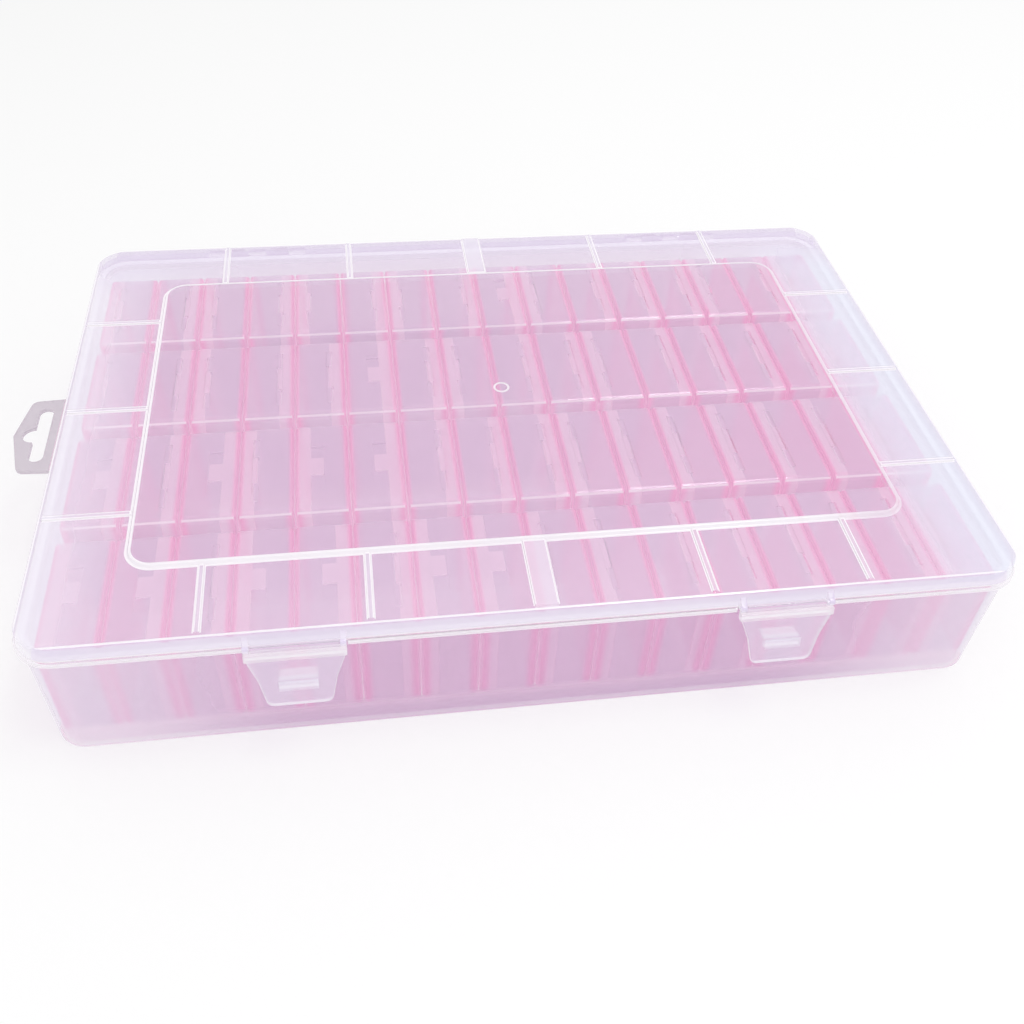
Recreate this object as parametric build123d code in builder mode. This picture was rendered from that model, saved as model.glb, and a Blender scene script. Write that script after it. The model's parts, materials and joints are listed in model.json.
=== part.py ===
from build123d import *
import math
import os

# Lidded storage case holding rows of small flip-lid boxes.
# X runs to the right, Y to the back and Z up. The origin is the centre of the tray's underside.
# The case is sized outwards from the grid of small boxes that it holds.

# Small box, standing on a long edge: thickness along X, length along Y, height along Z
box_thickness = 20.4
box_length = 50.5
box_height = 44.3
box_lid_thickness = 6.0
box_wall = 1.1
box_corner_radius = 3.0
box_edge_radius = 1.4

# Clasp in the middle of one long edge of a small box
clasp_bay_length = 23.0
clasp_bay_depth = 1.0
clasp_tab_length = 9.5
clasp_tab_thickness = 0.5
clasp_reach = 5.0
clasp_hook_width = 1.4
clasp_ridge_width = 0.8
clasp_ridge_height = 0.4

# Hinge in the middle of the opposite long edge of a small box
box_hinge_bay_length = 35.0
box_hinge_radius = 0.95
box_hinge_inset = 0.1
box_hinge_pin_radius = 0.5
box_hinge_barrel_length = 14.0

# Grid of small boxes in the tray
columns = 16
rows = 4
column_gap = 0.4
row_gap = 5.5
side_gap = 1.1
end_gap = 4.55

# How each small box stands, from the left column to the right, back row first.
# R or L: its flip lid is on the right or on the left. A capital letter: its clasp is on top.
standing = [
    "lrlrlrlrRlrrrlrl",
    "lrlrrRrlrrlrrrrl",
    "RrRlLRrrrlllllll",
    "LRrLRrLLllrrrrrl",
]

# Tray
tray_wall = 1.5
tray_floor = 1.5
tray_draft = 0.9
tray_corner_radius = 11.0
tray_base_radius = 1.0
rim_over_boxes = 4.2
flange_thickness = 2.0
flange_reach = 1.8

# Hanging tab on the tray's left side
tab_reach = 20.7
tab_half_width = 21.8
tab_shoulder = 4.3
tab_side_taper = 1.0
tab_drop = 4.0
tab_thickness = 1.6
tab_corner_radius = 3.0
slot_length = 31.5
slot_width = 5.4
slot_edge_distance = 10.4
slot_bump_radius = 4.3

# Lid
lid_overlap = 0.3
lid_sheet = 1.5
skirt_height = 6.0
skirt_flare = 0.8
lid_edge_radius = 0.7
panel_border_side = 32.0
panel_border_front = 31.3
panel_corner_radius = 9.0
panel_rise = 1.2
panel_side_slope = 0.6
rib_width = 2.0
rib_rise = 0.6
rib_end_margin = 1.2
rib_inner_offset = 57.6
rib_outer_offset = 112.7
rib_side_offset = 58.2
centre_rib_width = 8.0
centre_rib_rise = 0.9
gate_ring_radius = 3.2
gate_ring_width = 0.8
gate_ring_depth = 0.3
lip_thickness = 1.2
lip_depth = 2.0
lip_shelf = 1.2

# Two latches hinged on the lid's front edge
latch_offset = 82.5
latch_half_width = 16.5
latch_waist_half_width = 12.8
latch_tip_half_width = 10.5
latch_waist_reach = 12.8
latch_reach = 23.4
latch_corner_radius = 2.6
latch_lean = 14.0
latch_plate = 1.3
latch_plate_back = 0.2
latch_band_height = 2.9
latch_band_thickness = 2.6
latch_band_back = 1.1
latch_axis_out = 2.7
latch_axis_rise = 1.3
latch_bar_radius = 1.2
latch_neck_thickness = 1.2
latch_pin_radius = 0.7
ear_radius = 1.4
ear_thickness = 2.0
ear_height = 4.2
ear_slope_angle = 37.0

# Catch between a latch and the tray's front wall
catch_length = 12.8
catch_height = 6.3
catch_land = 1.0
hook_height = 1.3
hook_thickness = 1.5
hook_reach = 17.2

# Two clip hinges at the back of the case
hinge_offset = 100.0
hinge_axis_out = 4.5
hinge_axis_drop = 0.5
hinge_pin_radius = 1.25
hinge_clip_radius = 2.4
hinge_clip_length = 8.0
hinge_clip_spacing = 20.0
hinge_clip_mouth = 1.9
hinge_arm_length = 8.0
hinge_arm_radius = 2.0

# Clearances
pin_clearance = 0.05
running_gap = 0.3

# Worked out from the values above
column_pitch = box_thickness + column_gap
row_pitch = box_length + row_gap
grid_length = column_pitch * (columns - 1) + box_thickness
grid_depth = row_pitch * (rows - 1) + box_length
seam_x = box_thickness / 2 - box_lid_thickness
box_hinge_z = -box_height / 2 + box_hinge_radius + box_hinge_inset
box_hinge_bay_reach = box_hinge_radius + running_gap
box_hinge_lug_length = (box_hinge_bay_length - box_hinge_barrel_length) / 2 - 2 * running_gap

rim_height = tray_floor + box_height + rim_over_boxes
lid_height = rim_height + skirt_height
draft_angle = math.degrees(math.atan(tray_draft / rim_height))
inner_length = grid_length + 2 * side_gap
inner_depth = grid_depth + 2 * end_gap
base_length = inner_length + 2 * tray_wall
base_depth = inner_depth + 2 * tray_wall
lid_length = base_length + 2 * (tray_draft + lid_overlap)
lid_depth = base_depth + 2 * (tray_draft + lid_overlap)
lid_corner_radius = tray_corner_radius + tray_draft + lid_overlap
panel_length = lid_length - 2 * panel_border_side
panel_depth = lid_depth - 2 * panel_border_front

lean = math.radians(latch_lean)
latch_axis_y = -lid_depth / 2 - latch_axis_out
latch_axis_z = rim_height + latch_axis_rise
latch_band_top = ear_radius + running_gap
latch_bar_half_length = latch_half_width - ear_thickness - running_gap
hinge_axis_y = lid_depth / 2 + hinge_axis_out
hinge_axis_z = rim_height - hinge_axis_drop


def latch_plane(x):
    """Plane of a latch: X along its hinge axis, Y up the plate, normal pointing away from the case."""
    normal = (0, -math.cos(lean), math.sin(lean))
    return Plane(origin=(x, latch_axis_y, latch_axis_z), x_dir=(1, 0, 0), z_dir=normal)


def latch_point(reach, out):
    """Y and Z of a point that lies this far down a latch's plate and this far out of it."""
    y = latch_axis_y - reach * math.sin(lean) - out * math.cos(lean)
    z = latch_axis_z - reach * math.cos(lean) + out * math.sin(lean)
    return y, z


# ---------------------------------------------------------------- small box, centred on the origin

with BuildPart() as box_body:
    with BuildSketch(Plane.YZ.offset(-box_thickness / 2)):
        RectangleRounded(box_length, box_height, box_corner_radius)
    extrude(amount=box_thickness - box_lid_thickness)
    fillet(box_body.edges().group_by(Axis.X)[0], radius=box_edge_radius)
    with BuildSketch(Plane.YZ.offset(-box_thickness / 2 + box_wall)):
        RectangleRounded(
            box_length - 2 * box_wall,
            box_height - 2 * box_wall,
            box_corner_radius - box_wall,
        )
    extrude(amount=box_thickness, mode=Mode.SUBTRACT)
    # thickened wall behind the clasp bay and the hinge bay
    with BuildSketch(Plane.YZ.offset(seam_x)):
        with Locations((0, box_height / 2 - clasp_bay_depth / 2 - box_wall)):
            Rectangle(clasp_bay_length + 2 * box_wall, clasp_bay_depth + box_wall)
    extrude(amount=-(clasp_reach + running_gap + box_wall))
    with BuildSketch(Plane.YZ.offset(seam_x)):
        with Locations((0, -box_height / 2 + box_hinge_radius + box_wall)):
            Rectangle(box_hinge_bay_length + 2 * box_wall, 2 * box_hinge_radius + box_wall)
    extrude(amount=-(box_hinge_bay_reach + box_wall))
    # clasp bay and the ridge that the clasp snaps over
    with BuildSketch(Plane.YZ.offset(seam_x)):
        with Locations((0, box_height / 2 - clasp_bay_depth / 2)):
            Rectangle(clasp_bay_length, clasp_bay_depth)
    extrude(amount=-(clasp_reach + running_gap), mode=Mode.SUBTRACT)
    ridge_x = seam_x - clasp_reach + clasp_hook_width + running_gap
    with BuildSketch(Plane.YZ.offset(ridge_x)):
        with Locations((0, box_height / 2 - clasp_bay_depth + clasp_ridge_height / 2)):
            Rectangle(clasp_tab_length - 2 * running_gap, clasp_ridge_height)
    extrude(amount=clasp_ridge_width)
    # hinge bay with two lugs
    with BuildSketch(Plane.YZ.offset(seam_x)):
        with Locations((0, -box_height / 2 + box_hinge_radius + box_wall / 2)):
            Rectangle(box_hinge_bay_length, 2 * box_hinge_radius + box_wall)
    extrude(amount=-box_hinge_bay_reach, mode=Mode.SUBTRACT)
    lug_centre_y = (box_hinge_barrel_length + box_hinge_lug_length) / 2 + running_gap
    for side in (-1, 1):
        with BuildSketch(Plane.XZ.offset(-side * lug_centre_y)):
            with Locations((seam_x, box_hinge_z)):
                Circle(box_hinge_radius)
            with Locations((seam_x - box_hinge_bay_reach / 2, box_hinge_z)):
                Rectangle(box_hinge_bay_reach, 2 * box_hinge_radius)
            with Locations((seam_x, box_hinge_z)):
                Circle(box_hinge_pin_radius + pin_clearance, mode=Mode.SUBTRACT)
        extrude(amount=box_hinge_lug_length / 2, both=True)

with BuildPart() as box_lid:
    with BuildSketch(Plane.YZ.offset(seam_x)):
        RectangleRounded(box_length, box_height, box_corner_radius)
    extrude(amount=box_lid_thickness)
    fillet(box_lid.edges().group_by(Axis.X)[-1], radius=box_edge_radius)
    with BuildSketch(Plane.YZ.offset(seam_x)):
        RectangleRounded(
            box_length - 2 * box_wall,
            box_height - 2 * box_wall,
            box_corner_radius - box_wall,
        )
    extrude(amount=box_lid_thickness - box_wall, mode=Mode.SUBTRACT)
    # thickened wall behind the hinge bay, and the bay
    with BuildSketch(Plane.YZ.offset(seam_x)):
        with Locations((0, -box_height / 2 + box_hinge_radius + box_wall)):
            Rectangle(box_hinge_bay_length + 2 * box_wall, 2 * box_hinge_radius + box_wall)
    extrude(amount=box_hinge_bay_reach + box_wall)
    with BuildSketch(Plane.YZ.offset(seam_x)):
        with Locations((0, -box_height / 2 + box_hinge_radius + box_wall / 2)):
            Rectangle(box_hinge_bay_length, 2 * box_hinge_radius + box_wall)
    extrude(amount=box_hinge_bay_reach, mode=Mode.SUBTRACT)
    # hinge barrel, with pins that turn in the body's lugs
    with BuildSketch(Plane.XZ):
        with Locations((seam_x, box_hinge_z)):
            Circle(box_hinge_radius)
        with Locations((seam_x + box_hinge_bay_reach / 2, box_hinge_z)):
            Rectangle(box_hinge_bay_reach, 2 * box_hinge_radius)
    extrude(amount=box_hinge_barrel_length / 2, both=True)
    with BuildSketch(Plane.XZ):
        with Locations((seam_x, box_hinge_z)):
            Circle(box_hinge_pin_radius)
    extrude(amount=box_hinge_barrel_length / 2 + box_hinge_lug_length, both=True)
    # clasp: a tab across the seam, hooked at its end
    with BuildSketch(Plane.YZ.offset(seam_x + box_wall)):
        with Locations((0, (box_height - clasp_tab_thickness) / 2)):
            Rectangle(clasp_tab_length, clasp_tab_thickness)
    extrude(amount=-(clasp_reach + box_wall))
    with BuildSketch(Plane.YZ.offset(seam_x - clasp_reach)):
        with Locations((0, box_height / 2 - (clasp_bay_depth - pin_clearance) / 2)):
            Rectangle(clasp_tab_length, clasp_bay_depth - pin_clearance)
    extrude(amount=clasp_hook_width)

# ---------------------------------------------------------------- tray

with BuildPart() as tray:
    with BuildSketch(Plane.XY):
        RectangleRounded(base_length, base_depth, tray_corner_radius)
    extrude(amount=rim_height, taper=-draft_angle)
    fillet(tray.edges().group_by(Axis.Z)[0], radius=tray_base_radius)
    # flange under the lid's edge, cut back behind each latch
    with BuildSketch(Plane.XY.offset(rim_height - flange_thickness)):
        flange_grow = tray_wall + tray_draft + flange_reach
        RectangleRounded(
            inner_length + 2 * flange_grow,
            inner_depth + 2 * flange_grow,
            tray_corner_radius + tray_draft + flange_reach,
        )
        for side in (-1, 1):
            with Locations((side * latch_offset, -(base_depth + flange_grow) / 2 - tray_draft)):
                Rectangle(
                    2 * (latch_half_width + running_gap),
                    flange_grow,
                    mode=Mode.SUBTRACT,
                )
    extrude(amount=flange_thickness)
    # hanging tab
    tab_root = -base_length / 2
    tab_tip = -lid_length / 2 - tab_reach
    with BuildSketch(Plane.XY.offset(rim_height - tab_drop - tab_thickness)) as tab_outline:
        with BuildLine():
            Polyline(
                (tab_root, tab_half_width),
                (tab_tip + tab_shoulder, tab_half_width - tab_side_taper),
                (tab_tip, 0),
                (tab_tip + tab_shoulder, -tab_half_width + tab_side_taper),
                (tab_root, -tab_half_width),
                close=True,
            )
        make_face()
        fillet(tab_outline.vertices().group_by(Axis.X)[:2], radius=tab_corner_radius)
        slot_x = tab_tip + slot_edge_distance
        with Locations((slot_x, 0)):
            SlotOverall(slot_length, slot_width, rotation=90, mode=Mode.SUBTRACT)
        with Locations((slot_x - slot_width / 2, 0)):
            Circle(slot_bump_radius, mode=Mode.SUBTRACT)
        with Locations((slot_x + slot_bump_radius, 0)):
            Rectangle(2 * slot_bump_radius - slot_width, 2 * slot_bump_radius)
    extrude(amount=tab_thickness)
    # catch nub behind each latch: steep on top, square below
    hook_y, hook_z = latch_point(hook_reach - hook_thickness, -latch_plate_back - hook_height)
    nub_front = hook_y + running_gap
    nub_bottom = latch_point(hook_reach - hook_thickness, 0)[1] + running_gap
    nub_root = -inner_depth / 2 - tray_wall / 2
    for side in (-1, 1):
        with BuildSketch(Plane.YZ.offset(side * latch_offset - catch_length / 2)):
            with BuildLine():
                Polyline(
                    (nub_root, nub_bottom),
                    (nub_front, nub_bottom),
                    (nub_front, nub_bottom + catch_land),
                    (nub_root, nub_bottom + catch_height),
                    close=True,
                )
            make_face()
        extrude(amount=catch_length)
    # clips that hold the lid's hinge pins
    for side in (-1, 1):
        for step in (-0.5, 0.5):
            clip_x = side * hinge_offset + step * hinge_clip_spacing
            with BuildSketch(Plane.YZ.offset(clip_x - hinge_clip_length / 2)):
                with BuildLine():
                    Polyline(
                        (base_depth / 2, rim_height - flange_thickness),
                        (hinge_axis_y, hinge_axis_z - hinge_clip_radius),
                        (hinge_axis_y, hinge_axis_z),
                        (base_depth / 2, hinge_axis_z),
                        close=True,
                    )
                make_face()
                with Locations((hinge_axis_y, hinge_axis_z)):
                    Circle(hinge_clip_radius)
                with Locations((hinge_axis_y, hinge_axis_z)):
                    Circle(hinge_pin_radius + pin_clearance, mode=Mode.SUBTRACT)
                with Locations((hinge_axis_y, hinge_axis_z + hinge_clip_radius)):
                    Rectangle(hinge_clip_mouth, 2 * hinge_clip_radius, mode=Mode.SUBTRACT)
            extrude(amount=hinge_clip_length)
    # inside of the tray
    floor_spread = 2 * tray_draft * tray_floor / rim_height
    with BuildSketch(Plane.XY.offset(tray_floor)):
        RectangleRounded(
            inner_length + floor_spread,
            inner_depth + floor_spread,
            tray_corner_radius - tray_wall,
        )
    extrude(amount=rim_height, taper=-draft_angle, mode=Mode.SUBTRACT)

# ---------------------------------------------------------------- lid

skirt_angle = math.degrees(math.atan(skirt_flare / skirt_height))
skirt_length = lid_length + 2 * skirt_flare
skirt_depth = lid_depth + 2 * skirt_flare
skirt_corner_radius = lid_corner_radius + skirt_flare
mouth_grow = tray_draft - running_gap
lip_corner_radius = tray_corner_radius - tray_wall + mouth_grow

with BuildPart() as lid:
    with BuildSketch(Plane.XY.offset(rim_height)):
        RectangleRounded(skirt_length, skirt_depth, skirt_corner_radius)
    extrude(amount=skirt_height, taper=skirt_angle)
    fillet(lid.edges().group_by(Axis.Z)[-1], radius=lid_edge_radius)
    # raised panel, and ribs that run from it to the edge
    with BuildSketch(Plane.XY.offset(lid_height)):
        RectangleRounded(panel_length, panel_depth, panel_corner_radius)
    extrude(
        amount=panel_rise,
        taper=math.degrees(math.atan(panel_side_slope / panel_rise)),
    )
    with BuildSketch(Plane.XY.offset(lid_height - lid_sheet / 2)):
        for side in (-1, 1):
            for rib_x in (-rib_outer_offset, -rib_inner_offset, rib_inner_offset, rib_outer_offset):
                rib_y = side * (lid_depth - panel_border_front - rib_end_margin) / 2
                with Locations((rib_x, rib_y)):
                    Rectangle(rib_width, panel_border_front - rib_end_margin)
            for rib_y in (-rib_side_offset, 0, rib_side_offset):
                rib_x = side * (lid_length - panel_border_side - rib_end_margin) / 2
                with Locations((rib_x, rib_y)):
                    Rectangle(panel_border_side - rib_end_margin, rib_width)
    extrude(amount=lid_sheet / 2 + rib_rise)
    with BuildSketch(Plane.XY.offset(lid_height - lid_sheet / 2)):
        for side in (-1, 1):
            rib_y = side * (lid_depth - panel_border_front - rib_end_margin) / 2
            with Locations((0, rib_y)):
                Rectangle(centre_rib_width, panel_border_front - rib_end_margin)
    extrude(amount=lid_sheet / 2 + centre_rib_rise)
    # hollow underside
    with BuildSketch(Plane.XY.offset(rim_height)):
        RectangleRounded(
            skirt_length - 2 * lid_sheet,
            skirt_depth - 2 * lid_sheet,
            skirt_corner_radius - lid_sheet,
        )
    extrude(amount=skirt_height - lid_sheet, taper=skirt_angle, mode=Mode.SUBTRACT)
    with BuildSketch(Plane.XY.offset(lid_height - 2 * lid_sheet)):
        RectangleRounded(
            panel_length - 2 * lid_sheet,
            panel_depth - 2 * lid_sheet,
            panel_corner_radius - lid_sheet,
        )
    extrude(amount=lid_sheet + panel_rise, mode=Mode.SUBTRACT)
    # ring left by the moulding gate
    with BuildSketch(Plane.XY.offset(lid_height + panel_rise)):
        Circle(gate_ring_radius)
        Circle(gate_ring_radius - gate_ring_width, mode=Mode.SUBTRACT)
    extrude(amount=-gate_ring_depth, mode=Mode.SUBTRACT)
    # shelf that lies on the tray's rim, and the lip that locates the lid inside it
    with BuildSketch(Plane.XY.offset(rim_height)):
        RectangleRounded(
            skirt_length - lid_sheet,
            skirt_depth - lid_sheet,
            skirt_corner_radius - lid_sheet / 2,
        )
        RectangleRounded(
            inner_length + 2 * mouth_grow - 2 * lip_thickness,
            inner_depth + 2 * mouth_grow - 2 * lip_thickness,
            lip_corner_radius - lip_thickness,
            mode=Mode.SUBTRACT,
        )
    extrude(amount=lip_shelf)
    with BuildSketch(Plane.XY.offset(rim_height - lip_depth)):
        RectangleRounded(
            inner_length + 2 * mouth_grow,
            inner_depth + 2 * mouth_grow,
            lip_corner_radius,
        )
        RectangleRounded(
            inner_length + 2 * mouth_grow - 2 * lip_thickness,
            inner_depth + 2 * mouth_grow - 2 * lip_thickness,
            lip_corner_radius - lip_thickness,
            mode=Mode.SUBTRACT,
        )
    extrude(amount=lip_depth + lip_shelf)
    # ears that carry the latches
    skirt_face = -skirt_depth / 2 + lid_sheet / 2
    ear_slope = math.radians(ear_slope_angle)
    ear_front_z = latch_axis_z + ear_radius * math.sin(ear_slope)
    for side in (-1, 1):
        for end in (-1, 1):
            ear_x = side * latch_offset + end * (latch_half_width - ear_thickness / 2)
            with BuildSketch(Plane.YZ.offset(ear_x - ear_thickness / 2)):
                with BuildLine():
                    Polyline(
                        (latch_axis_y, latch_axis_z - ear_radius),
                        (skirt_face, rim_height),
                        (skirt_face, rim_height + ear_height),
                        (latch_axis_y - ear_radius * math.cos(ear_slope), ear_front_z),
                        close=True,
                    )
                make_face()
                with Locations((latch_axis_y, latch_axis_z)):
                    Circle(ear_radius)
                with Locations((latch_axis_y, latch_axis_z)):
                    Circle(latch_pin_radius + pin_clearance, mode=Mode.SUBTRACT)
            extrude(amount=ear_thickness)
    # arms and pins of the two hinges
    arm_root = skirt_depth / 2 - lid_sheet / 2
    arm_step = (hinge_clip_spacing + hinge_clip_length + hinge_arm_length) / 2 + running_gap
    pin_half_length = arm_step + hinge_arm_length / 2
    for side in (-1, 1):
        for step in (-1, 0, 1):
            arm_x = side * hinge_offset + step * arm_step
            with BuildSketch(Plane.YZ.offset(arm_x - hinge_arm_length / 2)):
                with BuildLine():
                    Polyline(
                        (arm_root, rim_height),
                        (hinge_axis_y, rim_height),
                        (hinge_axis_y, hinge_axis_z + hinge_arm_radius),
                        (arm_root, hinge_axis_z + hinge_arm_radius + lid_sheet),
                        close=True,
                    )
                make_face()
                with Locations((hinge_axis_y, hinge_axis_z)):
                    Circle(hinge_arm_radius)
            extrude(amount=hinge_arm_length)
        with BuildSketch(Plane.YZ.offset(side * hinge_offset - pin_half_length)):
            with Locations((hinge_axis_y, hinge_axis_z)):
                Circle(hinge_pin_radius)
        extrude(amount=2 * pin_half_length)


# ---------------------------------------------------------------- latches

def make_latch(x):
    """Latch hanging from the lid's ears, centred at x."""
    plane = latch_plane(x)
    with BuildPart() as latch:
        with BuildSketch(plane.offset(-latch_plate_back)) as outline:
            with BuildLine():
                Polyline(
                    (-latch_half_width, -latch_band_top),
                    (-latch_half_width, -latch_band_top - latch_band_height / 2),
                    (-latch_waist_half_width, -latch_waist_reach),
                    (-latch_tip_half_width, -latch_reach),
                    (latch_tip_half_width, -latch_reach),
                    (latch_waist_half_width, -latch_waist_reach),
                    (latch_half_width, -latch_band_top - latch_band_height / 2),
                    (latch_half_width, -latch_band_top),
                    close=True,
                )
            make_face()
            fillet(outline.vertices().group_by(Axis.Y)[0], radius=latch_corner_radius)
        extrude(amount=latch_plate)
        # thick band along the top, and the neck that joins it to the hinge bar
        with BuildSketch(plane.offset(-latch_band_back)):
            with Locations((0, -latch_band_top - latch_band_height / 2)):
                Rectangle(2 * latch_half_width, latch_band_height)
        extrude(amount=latch_band_thickness)
        with BuildSketch(plane.offset(-latch_neck_thickness / 2)):
            with Locations((0, -latch_band_top / 2)):
                Rectangle(2 * latch_bar_half_length, latch_band_top)
        extrude(amount=latch_neck_thickness)
        # hook that passes under the tray's catch nub
        with BuildSketch(plane.offset(-latch_plate_back - hook_height)):
            with Locations((0, -hook_reach + hook_thickness / 2)):
                Rectangle(catch_length, hook_thickness)
        extrude(amount=hook_height + latch_plate / 2)
        # hinge bar, with pins that turn in the lid's ears
        with BuildSketch(Plane.YZ.offset(x)):
            with Locations((latch_axis_y, latch_axis_z)):
                Circle(latch_bar_radius)
        extrude(amount=latch_bar_half_length, both=True)
        with BuildSketch(Plane.YZ.offset(x)):
            with Locations((latch_axis_y, latch_axis_z)):
                Circle(latch_pin_radius)
        extrude(amount=latch_half_width, both=True)
    return latch


latch_left = make_latch(-latch_offset)
latch_right = make_latch(latch_offset)

# ---------------------------------------------------------------- files

turns = {"R": (0, 0, 0), "L": (0, 0, 180), "r": (180, 0, 0), "l": (0, 180, 0)}


def place_column(piece, column):
    """One column of small-box pieces, each turned the way its box stands."""
    x = (column - (columns - 1) / 2) * column_pitch
    z = tray_floor + box_height / 2
    with BuildPart() as placed:
        for row in range(rows):
            y = ((rows - 1) / 2 - row) * row_pitch
            pattern = standing[row % len(standing)]
            turn = turns[pattern[column % len(pattern)]]
            with Locations(Location((x, y, z), turn)):
                add(piece)
    return placed


os.makedirs("parts", exist_ok=True)

pieces = {
    "tray": tray,
    "case_lid": lid,
    "latch_left": latch_left,
    "latch_right": latch_right,
}
for column in range(columns):
    number = f"{column + 1:02d}"
    pieces[f"column_{number}_box_bodies"] = place_column(box_body.part, column)
    pieces[f"column_{number}_box_lids"] = place_column(box_lid.part, column)

for name, piece in pieces.items():
    piece.part.label = name
    export_step(piece.part, f"parts/{name}.step")
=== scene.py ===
import json
import math

import bpy
from bpy.props import FloatProperty, FloatVectorProperty, PointerProperty
from bpy.types import Operator, Panel, PropertyGroup
from mathutils import Matrix, Vector


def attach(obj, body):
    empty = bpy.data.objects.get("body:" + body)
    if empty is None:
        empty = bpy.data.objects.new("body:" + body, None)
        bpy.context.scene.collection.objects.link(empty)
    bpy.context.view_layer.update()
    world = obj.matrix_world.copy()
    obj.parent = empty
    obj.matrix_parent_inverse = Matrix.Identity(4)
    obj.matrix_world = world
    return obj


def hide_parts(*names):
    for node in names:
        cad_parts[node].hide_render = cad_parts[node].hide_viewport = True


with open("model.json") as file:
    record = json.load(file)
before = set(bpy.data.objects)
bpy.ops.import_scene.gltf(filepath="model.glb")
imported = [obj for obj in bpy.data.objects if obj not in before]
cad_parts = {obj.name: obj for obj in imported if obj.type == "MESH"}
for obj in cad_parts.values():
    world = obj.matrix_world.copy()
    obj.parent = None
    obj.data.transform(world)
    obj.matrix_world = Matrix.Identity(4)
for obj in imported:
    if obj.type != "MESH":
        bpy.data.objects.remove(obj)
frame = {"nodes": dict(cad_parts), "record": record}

bl_info = {
    "name": "Storage case with small boxes",
    "version": (1, 0, 0),
    "blender": (4, 5, 0),
    "location": "3D View > Sidebar > Storage Case",
    "description": "Dresses a translucent storage case and the flip-lid boxes in it",
    "category": "Object",
}

MM = 0.001
COLUMN_COUNT = 16
COLUMN_NAMES = [f"column_{number:02d}" for number in range(1, COLUMN_COUNT + 1)]

# Softening of the mouldings' edges
MERGE_DISTANCE = 0.001 * MM
FLAT_ANGLE = math.radians(1)
SHARP_ANGLE = math.radians(35)
REST_GAP = 0.06 * MM
LARGE_EDGE = 0.2 * MM
FINE_EDGE = 0.15 * MM

# Places on the case, in millimetres
LID_HALF_LENGTH = 170.0
LID_HALF_DEPTH = 116.5
LID_TOP = 56.0
SKIRT_BOTTOM = 50.0
FLANGE_BOTTOM = 48.0
PANEL_HALF_LENGTH = 138.0
PANEL_HALF_DEPTH = 85.2
PANEL_CORNER = 9.0
GATE_RING_RADIUS = 2.8
RIB_PLACES = (57.6, 112.7)
SIDE_RIB_PLACE = 58.2
RIB_HALF_WIDTH = 1.0
CENTRE_RIB_HALF_WIDTH = 4.0
TRAY_FRONT = -116.2
LATCH_OFFSET = 82.5
BAND_BOTTOM = 46.7
BAND_TOP = 50.0
COLUMN_PITCH = 20.8
BOX_HALF_THICKNESS = 10.2

# Where one look goes over to another: the start and the end of the change, in millimetres.
# Lines and widths count from their own middle. Where the name says past, the place counts
# from what it names, with plus outside it. The others are places on the case.
MOULDED_LINE = (0.3, 0.6)
FLANGE_LINE = (0.3, 0.5)
FLANGE_HEIGHT = (FLANGE_BOTTOM - 0.2, FLANGE_BOTTOM)
FLANGE_TOP = (SKIRT_BOTTOM - 0.9, SKIRT_BOTTOM - 0.6)
TRAY_FOOT_HEIGHT = (6.0, 15.0)
TRAY_HAZE_PAST_END = (-95.0, -1.0)
TAB_PAST_END = (4.0, 4.5)
CATCH_WIDTH = (6.2, 6.6)
NUB_REACH = (TRAY_FRONT - 0.6, TRAY_FRONT - 0.2)
NUB_TOP = (37.6, 38.2)
CATCH_BOTTOM = (34.5, 34.8)
CATCH_TOP = (38.4, 38.7)
LID_HAZE_PAST_END = (-36.0, -2.0)
RIGHT_HAZE = (LID_HALF_LENGTH - 44.0, LID_HALF_LENGTH - 12.0)
BACK_HAZE = (75.0, 112.0)
LID_TOP_HEIGHT = (LID_TOP - 0.3, LID_TOP - 0.1)
PANEL_TOP_HEIGHT = (LID_TOP + 0.5, LID_TOP + 0.8)
BORDER_PAST_PANEL = (0.0, 0.5)
SKIRT_LINE_HEIGHT = (SKIRT_BOTTOM + 0.5, SKIRT_BOTTOM + 0.8)
SKIRT_PAST_OUTLINE = (-1.0, -0.8)
RIB_END_PAST_OUTLINE = (-2.0, -1.5)
FRONT_RIBS_PAST_END = (-34.0, -33.0)
SIDE_RIBS_PAST_END = (-32.0, -31.8)
CENTRE_RIB_WIDTH = (3.9, 4.1)
RIB_TOP_PAST_RIB = (-0.2, 0.2)
PANEL_LINE = (1.0, 1.4)
FAINT_PANEL_LINE = (100.0, 136.0)
GATE_RING_LINE = (0.4, 0.6)
BAND_HEIGHT = (BAND_BOTTOM, BAND_BOTTOM + 0.3)
HINGE_BAR_HEIGHT = (BAND_TOP - 0.1, BAND_TOP + 0.2)
OUTER_ROWS = (90.0, 100.0)
BAY_HEIGHT = (43.0, 43.4)
TINT_PAST_SIDE = (-2.4, -0.6)
CORNER_PAST_SIDE = (-4.6, -0.8)
ROUNDED_PAST_SIDE = (-1.2, -0.6)
BAY_PAST_SIDE = (-1.4, -1.0)
OUTSIDE_PAST_SIDE = (-0.5, -0.2)

# How squarely a face looks along an axis, from 0 to 1: the start and the end of a change
LEVEL_FACES = (0.5, 0.9)
FLANGE_SIDES = (0.8, 0.95)
PLATE_EDGES = (0.80, 0.95)
BROAD_WALLS = (0.25, 0.85)
END_WALLS = (0.7, 0.9)
BAY_WALLS = (0.5, 0.8)
ROUNDED_EDGES = (0.74, 0.86)


# ---------------------------------------------------------------- settings

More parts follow.
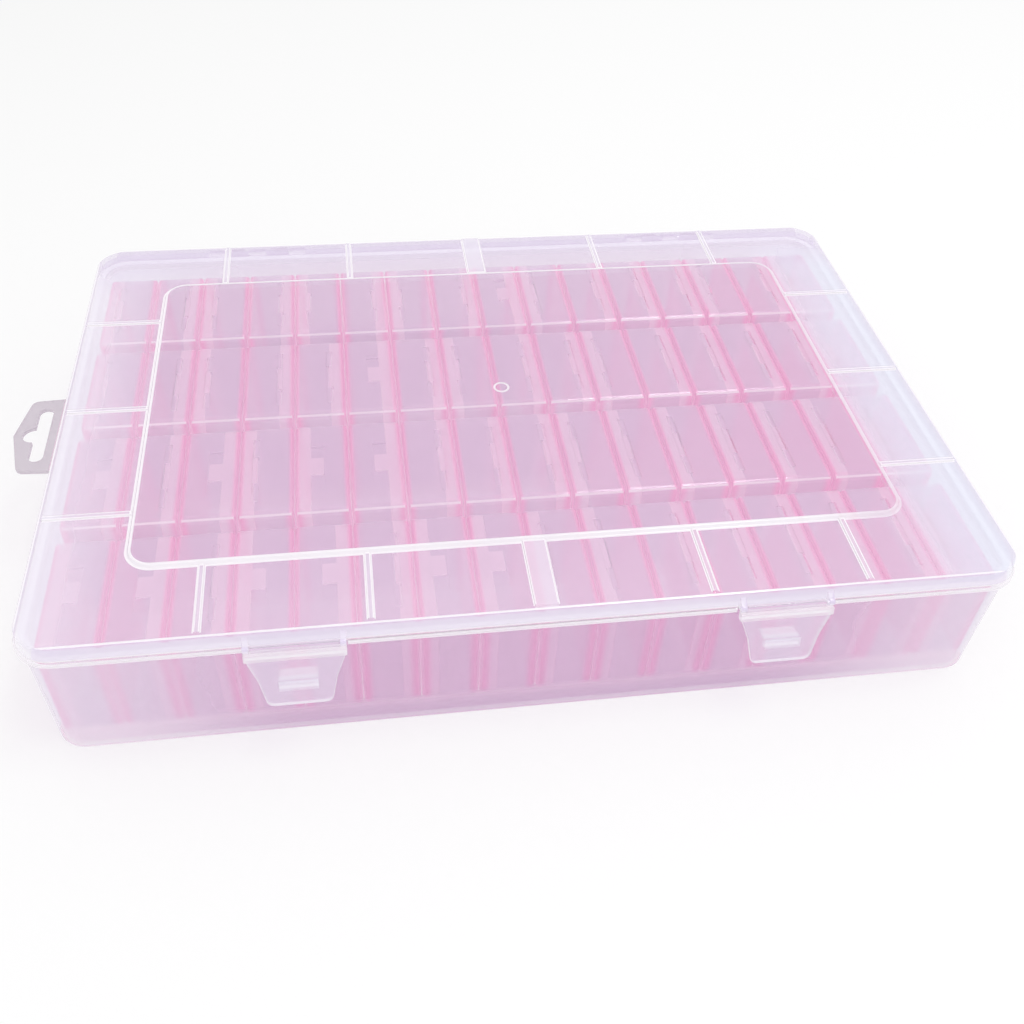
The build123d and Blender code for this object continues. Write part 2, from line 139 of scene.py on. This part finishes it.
class CaseColours(PropertyGroup):
    """Colours of the plastics."""

    edge: FloatVectorProperty(
        name="Case edges", description="Colour of the case's edges, ribs and rims",
        subtype="COLOR", size=3, min=0, max=1, default=(0.98, 0.96, 0.99),
    )
    lid_panel: FloatVectorProperty(
        name="Lid panel", description="Colour of the raised panel of the lid",
        subtype="COLOR", size=3, min=0, max=1, default=(0.90, 0.86, 0.95),
    )
    lid_border: FloatVectorProperty(
        name="Lid border", description="Colour of the lid around its panel",
        subtype="COLOR", size=3, min=0, max=1, default=(0.90, 0.86, 0.97),
    )
    lid_skirt: FloatVectorProperty(
        name="Lid skirt", description="Colour of the upright skirt of the lid",
        subtype="COLOR", size=3, min=0, max=1, default=(0.80, 0.71, 0.91),
    )
    lid_haze: FloatVectorProperty(
        name="Lid haze", description="Colour of the lid's border towards its right end",
        subtype="COLOR", size=3, min=0, max=1, default=(0.82, 0.84, 0.97),
    )
    tray_wall: FloatVectorProperty(
        name="Tray walls", description="Colour of the walls of the tray",
        subtype="COLOR", size=3, min=0, max=1, default=(0.72, 0.50, 0.70),
    )
    tray_foot: FloatVectorProperty(
        name="Tray foot", description="Colour of the lowest part of the tray's walls",
        subtype="COLOR", size=3, min=0, max=1, default=(0.64, 0.45, 0.65),
    )
    tab: FloatVectorProperty(
        name="Hanging tab", description="Colour of the tab that the case hangs from",
        subtype="COLOR", size=3, min=0, max=1, default=(0.60, 0.53, 0.60),
    )
    latch_plate: FloatVectorProperty(
        name="Latch plates", description="Colour of the flat plates of the latches",
        subtype="COLOR", size=3, min=0, max=1, default=(0.84, 0.76, 0.90),
    )
    box_flat: FloatVectorProperty(
        name="Small box ends", description="Colour of a small box's narrow walls",
        subtype="COLOR", size=3, min=0, max=1, default=(0.76, 0.54, 0.73),
    )
    box_lid: FloatVectorProperty(
        name="Small box lids", description="Colour of the narrow walls of a flip lid",
        subtype="COLOR", size=3, min=0, max=1, default=(0.90, 0.62, 0.80),
    )
    box_side: FloatVectorProperty(
        name="Small box sides", description="Colour of a small box's broad walls",
        subtype="COLOR", size=3, min=0, max=1, default=(0.96, 0.36, 0.63),
    )
    # Paler colour for a small box's rounded edges, partly a painted highlight, and for its hinge bays,
    # painted over their shade
    box_edge_painted_light: FloatVectorProperty(
        name="Small box edges", description="Colour of a small box's rounded edges",
        subtype="COLOR", size=3, min=0, max=1, default=(0.98, 0.84, 0.93),
    )


class StageSettings(PropertyGroup):
    """Floor, lamps and camera."""

    floor_colour: FloatVectorProperty(
        name="Floor", description="Colour of the floor",
        subtype="COLOR", size=3, min=0, max=1, default=(0.97, 0.97, 0.97),
    )
    lamp_power: FloatProperty(
        name="Key lamp", description="Power of the large lamp above the case",
        unit="POWER", min=0, default=24.0,
    )
    room_light: FloatProperty(
        name="Room light", description="Strength of the even light from all around",
        min=0, default=0.68,
    )


# ---------------------------------------------------------------- material helpers

class Signal:
    """A number in a material. Plain arithmetic on it adds math nodes."""

    def __init__(self, tree, source):
        self.tree = tree
        self.source = source

    def put(self, operation, *others):
        node = self.tree.nodes.new("ShaderNodeMath")
        node.operation = operation
        for socket, value in zip(node.inputs, (self, *others)):
            if isinstance(value, Signal):
                self.tree.links.new(value.source, socket)
            else:
                socket.default_value = value
        return Signal(self.tree, node.outputs[0])

    def __add__(self, other):
        return self.put("ADD", other)

    def __sub__(self, other):
        return self.put("SUBTRACT", other)

    def __mul__(self, other):
        return self.put("MULTIPLY", other)

    def __abs__(self):
        return self.put("ABSOLUTE")

    def most(self, other):
        return self.put("MAXIMUM", other)

    def least(self, other):
        return self.put("MINIMUM", other)

    def root(self):
        return self.put("SQRT")

    def above(self, low, high):
        """0 below low, 1 above high and a smooth step between them."""
        node = self.tree.nodes.new("ShaderNodeMapRange")
        node.interpolation_type = "SMOOTHSTEP"
        self.tree.links.new(self.source, node.inputs["Value"])
        node.inputs["From Min"].default_value = low
        node.inputs["From Max"].default_value = high
        return Signal(self.tree, node.outputs["Result"])

    def below(self, low, high):
        """1 below low, 0 above high and a smooth step between them."""
        return (self.above(low, high) * -1.0) + 1.0

    def line(self, low, high):
        """1 along the line where the number is 0, as far as low to each side, and 0 from high."""
        return abs(self).below(low, high)


class Plastic:
    """Translucent moulded plastic whose colour and opacity vary over the object."""

    white = (1.0, 1.0, 1.0)
    grain_scale = 260.0
    grain_strength = 0.04
    grain_depth = 0.2 * MM
    grain_gloss = 0.12
    cloud_scale = 45.0
    cloud_base = 0.88
    cloud_swing = 0.24
    refraction = 1.49
    shine = 0.8
    skin_roughness = 0.06

    def __init__(self, name, colour, opacity):
        self.material = bpy.data.materials.new(name)
        self.material.use_nodes = True
        self.tree = self.material.node_tree
        coordinates = self.tree.nodes.new("ShaderNodeTexCoord")
        self.point = coordinates.outputs["Object"]
        self.x, self.y, self.z = (place * (1 / MM) for place in self.split(self.point))
        self.facing_x, self.facing_y, self.facing_z = (
            abs(part) for part in self.split(coordinates.outputs["Normal"])
        )
        self.colour = colour
        self.opacity = opacity

    def split(self, vector):
        node = self.tree.nodes.new("ShaderNodeSeparateXYZ")
        self.tree.links.new(vector, node.inputs["Vector"])
        return [Signal(self.tree, output) for output in node.outputs]

    def mix(self, share, first, second):
        """A colour or number that goes from first to second as share goes from 0 to 1."""
        node = self.tree.nodes.new("ShaderNodeMix")
        number = isinstance(second, float)
        node.data_type = "FLOAT" if number else "RGBA"
        start, end, result = (2, 3, 0) if number else (6, 7, 2)
        self.tree.links.new(share.source, node.inputs[0])
        for socket, value in ((node.inputs[start], first), (node.inputs[end], second)):
            if isinstance(value, bpy.types.NodeSocket):
                self.tree.links.new(value, socket)
            elif number:
                socket.default_value = value
            else:
                socket.default_value = (*value, 1.0)
        return node.outputs[result]

    def lay(self, share, colour, opacity):
        """Goes over to another colour and opacity where share is 1."""
        self.colour = self.mix(share, self.colour, colour)
        self.opacity = self.mix(share, self.opacity, opacity)

    def noise(self, scale):
        node = self.tree.nodes.new("ShaderNodeTexNoise")
        node.inputs["Scale"].default_value = scale
        self.tree.links.new(self.point, node.inputs["Vector"])
        return Signal(self.tree, node.outputs["Fac"])

    def finish(self, shade, roughness, glow_share):
        """Puts the shader together. Light passes through the plastic, tinted by shade."""
        tree = self.tree
        grain, clouds = self.noise(self.grain_scale), self.noise(self.cloud_scale)
        relief = tree.nodes.new("ShaderNodeBump")
        relief.inputs["Strength"].default_value = self.grain_strength
        relief.inputs["Distance"].default_value = self.grain_depth
        tree.links.new(grain.source, relief.inputs["Height"])
        surface = tree.nodes["Principled BSDF"]
        surface.inputs["IOR"].default_value = self.refraction
        surface.inputs["Specular IOR Level"].default_value = self.shine
        surface.inputs["Coat Weight"].default_value = self.shine
        surface.inputs["Coat Roughness"].default_value = self.skin_roughness
        tree.links.new((grain * self.grain_gloss + roughness).source, surface.inputs["Roughness"])
        glow = tree.nodes.new("ShaderNodeBsdfTranslucent")
        for shader, socket in ((surface, "Base Color"), (glow, "Color")):
            tree.links.new(self.colour, shader.inputs[socket])
            tree.links.new(relief.outputs["Normal"], shader.inputs["Normal"])
        # Only what is seen directly meets the opacity, so that light reaches every small box
        seen = Signal(tree, tree.nodes.new("ShaderNodeLightPath").outputs["Is Camera Ray"])
        clear = tree.nodes.new("ShaderNodeBsdfTransparent")
        tree.links.new(self.mix(seen, shade, self.white), clear.inputs["Color"])
        body = self.join(glow_share, surface, glow)
        solid = Signal(tree, self.opacity) * (clouds * self.cloud_swing + self.cloud_base) * seen
        final = self.join(solid, clear, body)
        tree.links.new(final.outputs[0], tree.nodes["Material Output"].inputs["Surface"])
        return self.material

    def join(self, share, first, second):
        node = self.tree.nodes.new("ShaderNodeMixShader")
        if isinstance(share, Signal):
            self.tree.links.new(share.source, node.inputs[0])
        else:
            node.inputs[0].default_value = share
        self.tree.links.new(first.outputs[0], node.inputs[1])
        self.tree.links.new(second.outputs[0], node.inputs[2])
        return node


# ---------------------------------------------------------------- piece helpers

def body_of(node_name):
    """The moving body that a CAD node belongs to."""
    bodies = frame["record"]["behaviour"]["bodies"]
    return next(body for body, members in bodies.items() if node_name in members)


def select_only(piece):
    bpy.ops.object.select_all(action="DESELECT")
    piece.select_set(True)
    bpy.context.view_layer.objects.active = piece


def apply_modifier(piece, kind, **values):
    select_only(piece)
    modifier = piece.modifiers.new(kind.lower(), kind)
    for name, value in values.items():
        setattr(modifier, name, value)
    bpy.ops.object.modifier_apply(modifier=modifier.name)


def lift_underside(piece, height, gap):
    """Raises a piece's faces at this height by a hair's breadth, clear of the piece below."""
    select_only(piece)
    for vertex in piece.data.vertices:
        vertex.select = abs(vertex.co.z - height) < gap
    bpy.ops.object.mode_set(mode="EDIT")
    bpy.ops.mesh.select_mode(type="VERT")
    bpy.ops.transform.translate(value=(0, 0, gap))
    bpy.ops.object.mode_set(mode="OBJECT")


def softened(node_name, piece_name, edge_width, material, clamp=False, rests_at=None):
    """A moulding with its edges rounded as a mould leaves them, in place of a sharp CAD node."""
    node = frame["nodes"][node_name]
    piece = bpy.data.objects.new(piece_name, node.data.copy())
    bpy.context.scene.collection.objects.link(piece)
    select_only(piece)
    bpy.ops.object.mode_set(mode="EDIT")
    bpy.ops.mesh.select_all(action="SELECT")
    bpy.ops.mesh.remove_doubles(threshold=MERGE_DISTANCE)
    bpy.ops.mesh.dissolve_limited(angle_limit=FLAT_ANGLE)
    bpy.ops.mesh.select_all(action="DESELECT")
    bpy.ops.object.mode_set(mode="OBJECT")
    if rests_at is not None:
        lift_underside(piece, rests_at, REST_GAP)
    apply_modifier(
        piece, "BEVEL", width=edge_width, segments=2, limit_method="ANGLE",
        angle_limit=SHARP_ANGLE, use_clamp_overlap=clamp,
    )
    select_only(piece)
    bpy.ops.object.shade_smooth()
    apply_modifier(piece, "WEIGHTED_NORMAL", weight=50)
    piece.data.materials.clear()
    piece.data.materials.append(material)
    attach(piece, body_of(node_name))
    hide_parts(node_name)
    return piece


# ---------------------------------------------------------------- operators

class CASE_OT_tray(Operator):
    """Adds the milky tray with its rim and hanging tab"""

    bl_idname = "storage_case.add_tray"
    bl_label = "Add tray"

    def execute(self, context):
        colours = context.scene.case_colours
        plastic = Plastic("milky tray", colours.tray_wall, opacity=0.30)
        past_end = abs(plastic.x) - LID_HALF_LENGTH
        level = plastic.facing_z.above(*LEVEL_FACES)
        flange = plastic.z.above(*FLANGE_HEIGHT)
        flange_side = plastic.facing_z.below(*FLANGE_SIDES) * plastic.z.above(*FLANGE_TOP)
        flange_line = (plastic.z - FLANGE_BOTTOM).line(*FLANGE_LINE)
        nub_width = (abs(plastic.x) - LATCH_OFFSET).line(*CATCH_WIDTH)
        nub = nub_width * plastic.y.below(*NUB_REACH) * plastic.z.below(*NUB_TOP)
        plastic.lay(plastic.z.below(*TRAY_FOOT_HEIGHT), colours.tray_foot, opacity=0.60)
        plastic.lay(past_end.above(*TRAY_HAZE_PAST_END), colours.lid_border, opacity=0.42)
        plastic.lay(level, colours.box_side, opacity=0.30)
        plastic.lay(flange, colours.edge, opacity=0.30)
        plastic.lay(flange_side, colours.edge, opacity=0.85)
        plastic.lay(flange_line, colours.edge, opacity=0.80)
        plastic.lay(past_end.above(*TAB_PAST_END), colours.tab, opacity=0.60)
        plastic.lay(nub, colours.edge, opacity=0.95)
        material = plastic.finish(shade=(0.95, 0.93, 0.95), roughness=0.12, glow_share=0.3)
        softened("tray", "tray_shell", LARGE_EDGE, material)
        return {"FINISHED"}


class CASE_OT_lid(Operator):
    """Adds the clear lid with its raised panel, ribs and skirt"""

    bl_idname = "storage_case.add_lid"
    bl_label = "Add lid"

    rim_line_inset = 0.4
    panel_line_inset = 0.3
    panel_line_fading = 0.4

    def execute(self, context):
        colours = context.scene.case_colours
        plastic = Plastic("clear lid", colours.lid_panel, opacity=0.08)
        past_panel = self.past_panel(plastic)
        past_end = abs(plastic.x) - LID_HALF_LENGTH
        past_side = abs(plastic.y) - LID_HALF_DEPTH
        past_outline = past_end.most(past_side)
        border = past_panel.above(*BORDER_PAST_PANEL)
        on_top = plastic.z.above(*LID_TOP_HEIGHT)
        centre_rib = border * on_top * abs(plastic.x).below(*CENTRE_RIB_WIDTH)
        rib_tops, rib_lines = self.ribs(plastic, past_end)
        rib_room = border * past_outline.below(*RIB_END_PAST_OUTLINE) * on_top
        rim_line = (past_outline + self.rim_line_inset).line(*MOULDED_LINE) * on_top
        skirt_line = plastic.z.below(*SKIRT_LINE_HEIGHT)
        panel_line = (past_panel + self.panel_line_inset).line(*PANEL_LINE) * on_top
        panel_line = panel_line * (plastic.x.above(*FAINT_PANEL_LINE) * -self.panel_line_fading + 1.0)
        from_centre = (plastic.x * plastic.x + plastic.y * plastic.y).root()
        ring_line = (from_centre - GATE_RING_RADIUS).line(*GATE_RING_LINE)
        gate_ring = ring_line * plastic.z.above(*PANEL_TOP_HEIGHT)
        plastic.lay(border, colours.lid_border, opacity=0.12)
        plastic.lay(border * past_end.above(*LID_HAZE_PAST_END), colours.lid_border, opacity=0.36)
        plastic.lay(border * plastic.x.above(*RIGHT_HAZE), colours.lid_haze, opacity=0.44)
        plastic.lay(border * plastic.y.above(*BACK_HAZE), colours.lid_skirt, opacity=0.30)
        plastic.lay(past_outline.above(*SKIRT_PAST_OUTLINE), colours.lid_skirt, opacity=0.55)
        plastic.lay(centre_rib, colours.lid_border, opacity=0.55)
        plastic.lay(rib_tops * rib_room, colours.lid_border, opacity=0.50)
        plastic.lay(rib_lines * rib_room, colours.edge, opacity=0.95)
        plastic.lay(panel_line.most(rim_line).most(skirt_line), colours.edge, opacity=0.95)
        plastic.lay(gate_ring, colours.edge, opacity=0.80)
        material = plastic.finish(shade=(0.99, 0.99, 0.99), roughness=0.12, glow_share=0.15)
        softened("case_lid", "lid_shell", FINE_EDGE, material, rests_at=SKIRT_BOTTOM * MM)
        return {"FINISHED"}

    def past_panel(self, plastic):
        """How far a point lies outside the raised panel's outline."""
        over_x = abs(plastic.x) - (PANEL_HALF_LENGTH - PANEL_CORNER)
        over_y = abs(plastic.y) - (PANEL_HALF_DEPTH - PANEL_CORNER)
        outside_x, outside_y = over_x.most(0.0), over_y.most(0.0)
        corner = (outside_x * outside_x + outside_y * outside_y).root()
        return corner + over_x.most(over_y).least(0.0) - PANEL_CORNER

    def ribs(self, plastic, past_end):
        """The tops and the outlines of the ribs that cross the lid's border."""
        inner, outer = (abs(abs(plastic.x) - place) for place in RIB_PLACES)
        side = abs(plastic.y).least(abs(abs(plastic.y) - SIDE_RIB_PLACE))
        past_rib = inner.least(outer) - RIB_HALF_WIDTH
        past_side_rib = side - RIB_HALF_WIDTH
        past_centre_rib = abs(plastic.x) - CENTRE_RIB_HALF_WIDTH
        along_front = past_end.below(*FRONT_RIBS_PAST_END)
        along_end = past_end.above(*SIDE_RIBS_PAST_END)
        front_top, side_top = (past.below(*RIB_TOP_PAST_RIB) for past in (past_rib, past_side_rib))
        front_line = abs(past_rib).least(abs(past_centre_rib)).line(*MOULDED_LINE)
        side_line = past_side_rib.line(*MOULDED_LINE)
        tops = (front_top * along_front).most(side_top * along_end)
        lines = (front_line * along_front).most(side_line * along_end)
        return tops, lines


class CASE_OT_latches(Operator):
    """Adds the two front latches"""

    bl_idname = "storage_case.add_latches"
    bl_label = "Add latches"

    def execute(self, context):
        colours = context.scene.case_colours
        plastic = Plastic("milky latch", colours.latch_plate, opacity=0.34)
        catch_width = (abs(plastic.x) - LATCH_OFFSET).line(*CATCH_WIDTH)
        catch = catch_width * plastic.z.above(*CATCH_BOTTOM) * plastic.z.below(*CATCH_TOP)
        plastic.lay(plastic.facing_y.below(*PLATE_EDGES), colours.edge, opacity=0.95)
        plastic.lay(plastic.z.above(*BAND_HEIGHT), colours.edge, opacity=0.50)
        plastic.lay(catch, colours.lid_border, opacity=0.55)
        plastic.lay(plastic.z.above(*HINGE_BAR_HEIGHT), colours.latch_plate, opacity=0.30)
        material = plastic.finish(shade=(0.97, 0.96, 0.98), roughness=0.12, glow_share=0.2)
        for side in ("left", "right"):
            softened(f"latch_{side}", f"latch_{side}_moulding", LARGE_EDGE, material, clamp=True)
        return {"FINISHED"}


class CASE_OT_small_boxes(Operator):
    """Adds the pink-tinted small boxes, column by column"""

    bl_idname = "storage_case.add_small_boxes"
    bl_label = "Add small boxes"

    def execute(self, context):
        colours = context.scene.case_colours
        body = self.tinted("pink box body", colours, colours.box_flat, opacity=0.42)
        lid = self.tinted("pink box lid", colours, colours.box_lid, opacity=0.48)
        for column in COLUMN_NAMES:
            softened(column + "_box_bodies", column + "_bodies_moulded", FINE_EDGE, body)
            softened(column + "_box_lids", column + "_lids_moulded", FINE_EDGE, lid)
        return {"FINISHED"}

    def tinted(self, name, colours, flat, opacity):
        """The broad walls hold the most tint, and show it where they're seen edge on. The rounded edges
        get a paler colour that is partly a painted highlight, and the hinge bays are painted pale and
        nearly clear over their shade.
        """
        plastic = Plastic(name, flat, opacity)
        from_middle = abs(plastic.x.put("WRAP", COLUMN_PITCH, 0.0) - COLUMN_PITCH / 2)
        past_side = from_middle - BOX_HALF_THICKNESS
        sides = plastic.facing_x.above(*BROAD_WALLS)
        corner = plastic.facing_y.above(*END_WALLS) * past_side.above(*CORNER_PAST_SIDE)
        squarest = plastic.facing_x.most(plastic.facing_y).most(plastic.facing_z)
        # The rounded edges: their paler colour is partly the plastic seen edge on and partly a painted
        # highlight
        rounded = squarest.below(*ROUNDED_EDGES) * past_side.below(*ROUNDED_PAST_SIDE)
        # The hinge bays' walls, which lie in shade
        shaded_bay_side = plastic.facing_x.above(*BAY_WALLS) * past_side.below(*BAY_PAST_SIDE)
        plastic.lay(past_side.above(*TINT_PAST_SIDE), colours.box_side, opacity=0.65)
        plastic.lay(corner, colours.box_side, opacity=0.50)
        plastic.lay(corner * abs(plastic.y).above(*OUTER_ROWS), colours.box_side, opacity=0.94)
        plastic.lay(sides, colours.box_side, opacity=0.45)
        plastic.lay(sides * past_side.above(*OUTSIDE_PAST_SIDE), colours.box_side, opacity=0.70)
        # Painted highlight: the rounded edges go paler and more opaque
        plastic.lay(rounded, colours.box_edge_painted_light, opacity=0.62)
        # Painted light: the shaded bay walls go pale and nearly clear, so that their shade doesn't show
        plastic.lay(shaded_bay_side * plastic.z.above(*BAY_HEIGHT), colours.box_edge_painted_light, opacity=0.15)
        return plastic.finish(shade=(0.99, 0.98, 0.99), roughness=0.05, glow_share=0.45)


class CASE_OT_stage(Operator):
    """Adds the floor, the lamps and the camera"""

    bl_idname = "storage_case.add_stage"
    bl_label = "Add stage"

    camera_place = (-0.0550570, -0.3437742, 0.3289015)
    camera_yaw = 0.1794
    camera_pitch = 0.7763
    camera_roll = 0.0578
    camera_focal = 1089.0924
    frame_pixels = 1024
    sensor_width = 36.0
    nearest_seen = 0.01
    farthest_seen = 50.0
    floor_size = 12.0
    floor_near = 0.7
    floor_far = 1.7
    floor_roughness = 0.9
    # Each lamp's place, width and height, and its share of the key lamp's power
    lamps = {
        "key lamp": ((0.80, -0.20, 2.60), 1.10, 0.50, 1.0),
        "fill lamp": ((-1.40, -2.00, 1.80), 1.60, 1.60, 0.4),
    }

    def execute(self, context):
        settings = context.scene.case_stage
        bpy.ops.mesh.primitive_plane_add(size=self.floor_size, location=(0, 0, 0))
        floor = context.active_object
        floor.name = "floor"
        floor.data.materials.append(self.floor_material(settings))
        self.add_world(context, settings)
        self.add_lamps(context, settings)
        self.add_camera(context)
        context.scene.view_settings.view_transform = "Standard"
        context.scene.cycles.transparent_max_bounces = 160
        context.scene.cycles.max_bounces = 4
        context.scene.cycles.diffuse_bounces = 2
        return {"FINISHED"}

    def floor_material(self, settings):
        """A pale floor that fades out towards its edge, into the white behind it."""
        material = bpy.data.materials.new("pale floor")
        material.use_nodes = True
        tree = material.node_tree
        shader = tree.nodes["Principled BSDF"]
        shader.inputs["Base Color"].default_value = (*settings.floor_colour, 1.0)
        shader.inputs["Roughness"].default_value = self.floor_roughness
        shader.inputs["Specular IOR Level"].default_value = 0.0
        coordinates = tree.nodes.new("ShaderNodeTexCoord")
        distance = tree.nodes.new("ShaderNodeVectorMath")
        distance.operation = "LENGTH"
        tree.links.new(coordinates.outputs["Object"], distance.inputs[0])
        solid = Signal(tree, distance.outputs["Value"]).below(self.floor_near, self.floor_far)
        tree.links.new(solid.source, shader.inputs["Alpha"])
        return material

    def add_world(self, context, settings):
        """An even light from all around, and pure white where it is seen or mirrored."""
        world = bpy.data.worlds.new("studio")
        context.scene.world = world
        world.use_nodes = True
        tree = world.node_tree
        tree.nodes.clear()
        path = tree.nodes.new("ShaderNodeLightPath")
        seen, mirrored, through = (
            Signal(tree, path.outputs[f"Is {kind} Ray"]) for kind in ("Camera", "Glossy", "Transmission")
        )
        mix = tree.nodes.new("ShaderNodeMixShader")
        tree.links.new(seen.most(mirrored).most(through).source, mix.inputs["Fac"])
        for socket, strength in ((mix.inputs[1], settings.room_light), (mix.inputs[2], 1.0)):
            light = tree.nodes.new("ShaderNodeBackground")
            light.inputs["Color"].default_value = (1, 1, 1, 1)
            light.inputs["Strength"].default_value = strength
            tree.links.new(light.outputs[0], socket)
        output = tree.nodes.new("ShaderNodeOutputWorld")
        tree.links.new(mix.outputs[0], output.inputs["Surface"])

    def add_lamps(self, context, settings):
        for name, (place, width, height, share) in self.lamps.items():
            lamp = bpy.data.lights.new(name, "AREA")
            lamp.shape = "RECTANGLE"
            lamp.size = width
            lamp.size_y = height
            lamp.energy = share * settings.lamp_power
            holder = bpy.data.objects.new(name, lamp)
            holder.location = place
            holder.rotation_euler = (-Vector(place)).to_track_quat("-Z", "Y").to_euler()
            context.scene.collection.objects.link(holder)

    def add_camera(self, context):
        yaw, pitch, roll = self.camera_yaw, self.camera_pitch, self.camera_roll
        ahead = math.cos(pitch)
        forward = Vector((math.sin(yaw) * ahead, math.cos(yaw) * ahead, -math.sin(pitch)))
        level = Vector((math.cos(yaw), -math.sin(yaw), 0.0))
        upright = level.cross(forward)
        right = math.cos(roll) * level + math.sin(roll) * upright
        up = math.cos(roll) * upright - math.sin(roll) * level
        turn = Matrix((right, up, -forward)).transposed().to_4x4()
        data = bpy.data.cameras.new("camera")
        data.sensor_width = self.sensor_width
        data.lens = self.camera_focal / self.frame_pixels * self.sensor_width
        data.clip_start = self.nearest_seen
        data.clip_end = self.farthest_seen
        camera = bpy.data.objects.new("camera", data)
        camera.matrix_world = Matrix.Translation(self.camera_place) @ turn
        context.scene.collection.objects.link(camera)
        context.scene.camera = camera


class CASE_PT_sidebar(Panel):
    """Settings and steps of the storage case"""

    bl_idname = "CASE_PT_sidebar"
    bl_label = "Storage case"
    bl_space_type = "VIEW_3D"
    bl_region_type = "UI"
    bl_category = "Storage Case"

    def draw(self, context):
        layout = self.layout
        for group in (context.scene.case_colours, context.scene.case_stage):
            for name in group.__annotations__:
                layout.prop(group, name)
        for operator in OPERATORS:
            layout.operator(operator.bl_idname)


OPERATORS = (CASE_OT_tray, CASE_OT_lid, CASE_OT_latches, CASE_OT_small_boxes, CASE_OT_stage)
CLASSES = (CaseColours, StageSettings, *OPERATORS, CASE_PT_sidebar)


def register():
    for cls in CLASSES:
        bpy.utils.register_class(cls)
    bpy.types.Scene.case_colours = PointerProperty(type=CaseColours)
    bpy.types.Scene.case_stage = PointerProperty(type=StageSettings)


def unregister():
    del bpy.types.Scene.case_stage
    del bpy.types.Scene.case_colours
    for cls in reversed(CLASSES):
        bpy.utils.unregister_class(cls)


def main():
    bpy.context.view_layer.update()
    register()
    bpy.ops.storage_case.add_tray()
    bpy.ops.storage_case.add_lid()
    bpy.ops.storage_case.add_latches()
    bpy.ops.storage_case.add_small_boxes()
    bpy.ops.storage_case.add_stage()


if __name__ == "__main__":
    main()
